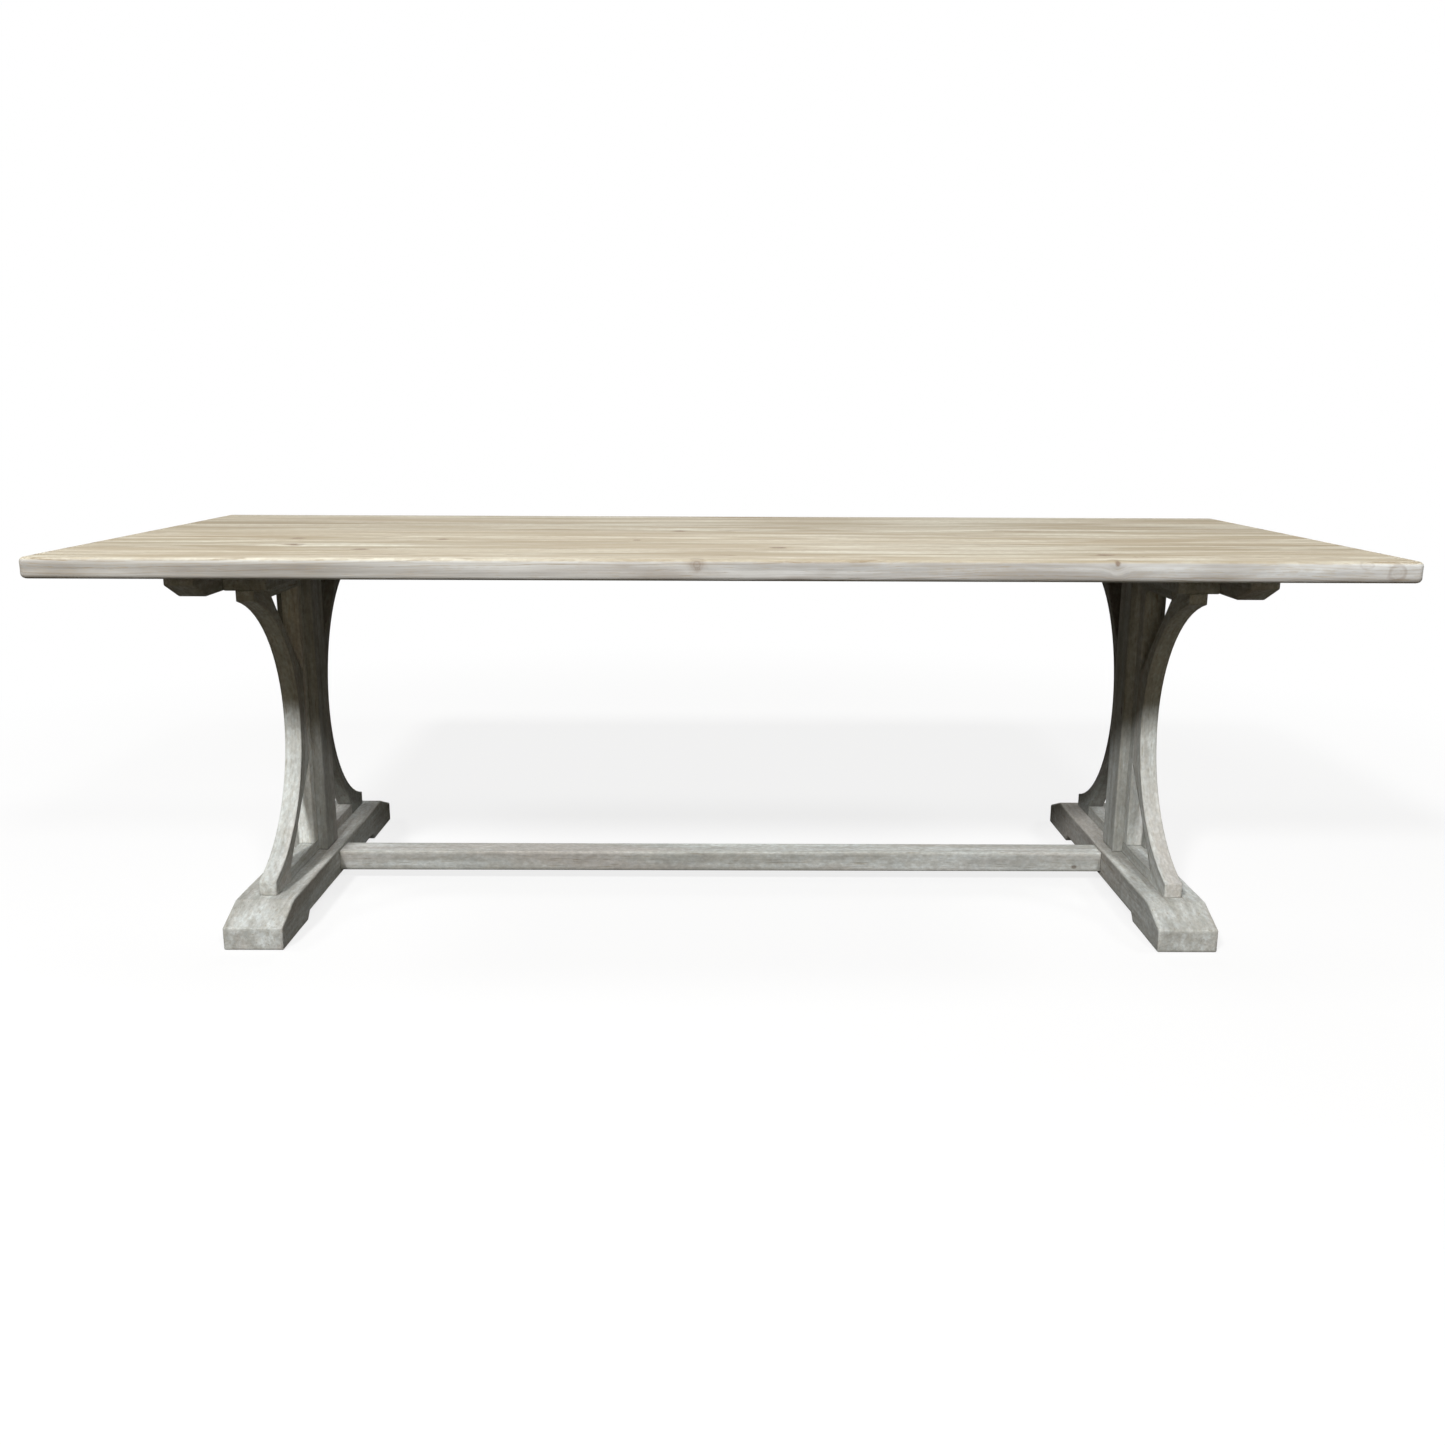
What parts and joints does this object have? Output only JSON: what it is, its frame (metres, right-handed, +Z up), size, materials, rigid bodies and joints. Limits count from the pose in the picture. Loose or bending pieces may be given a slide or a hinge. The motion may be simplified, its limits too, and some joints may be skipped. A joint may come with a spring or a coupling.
{
  "type": "trestle dining table",
  "caption": "Whitewashed wooden trestle dining table: a long planked top on curved-brace trestles with chamfered feet and a low stretcher.",
  "frame": {"origin": "on the floor, under the middle of the top", "axes": "+X along the top, +Y across it, +Z up"},
  "size_m": [2.44, 1.016, 0.762],
  "materials": {
    "top_wood": "whitewashed, matt",
    "base_wood": "grey whitewash, matt",
    "inner_wood": "bare",
    "zinc_steel": "zinc plated"
  },
  "bodies": {
    "root": {"top_plank_1": "top_wood", "top_plank_2": "top_wood", "top_plank_3": "top_wood", "top_plank_4": "top_wood", "top_plank_5": "top_wood", "top_plank_6": "top_wood", "top_plank_7": "top_wood", "top_plank_8": "top_wood", "top_plank_9": "top_wood", "foot_left": "base_wood", "post_left": "base_wood", "head_beam_left": "base_wood", "cleat_left": "base_wood", "foot_right": "base_wood", "post_right": "base_wood", "head_beam_right": "base_wood", "cleat_right": "base_wood", "curved_brace_left_front": "base_wood", "curved_brace_left_rear": "base_wood", "curved_brace_right_front": "base_wood", "curved_brace_right_rear": "base_wood", "brace_stile_left_front": "base_wood", "lower_rail_left_front": "base_wood", "upper_rail_left_front": "base_wood", "brace_stile_left_rear": "base_wood", "lower_rail_left_rear": "base_wood", "upper_rail_left_rear": "base_wood", "brace_stile_right_front": "base_wood", "lower_rail_right_front": "base_wood", "upper_rail_right_front": "base_wood", "brace_stile_right_rear": "base_wood", "lower_rail_right_rear": "base_wood", "upper_rail_right_rear": "base_wood", "stretcher": "base_wood", "plank_tongues": "inner_wood", "foot_dowels": "inner_wood", "beam_dowels": "inner_wood", "stile_dowels": "inner_wood", "stretcher_pegs": "inner_wood", "cleat_screws": "zinc_steel", "post_lag_screws": "zinc_steel", "lag_washers": "zinc_steel", "cleat_bolts": "zinc_steel", "bolt_washers": "zinc_steel", "bolt_nuts": "zinc_steel"}
  },
  "joints": []
}
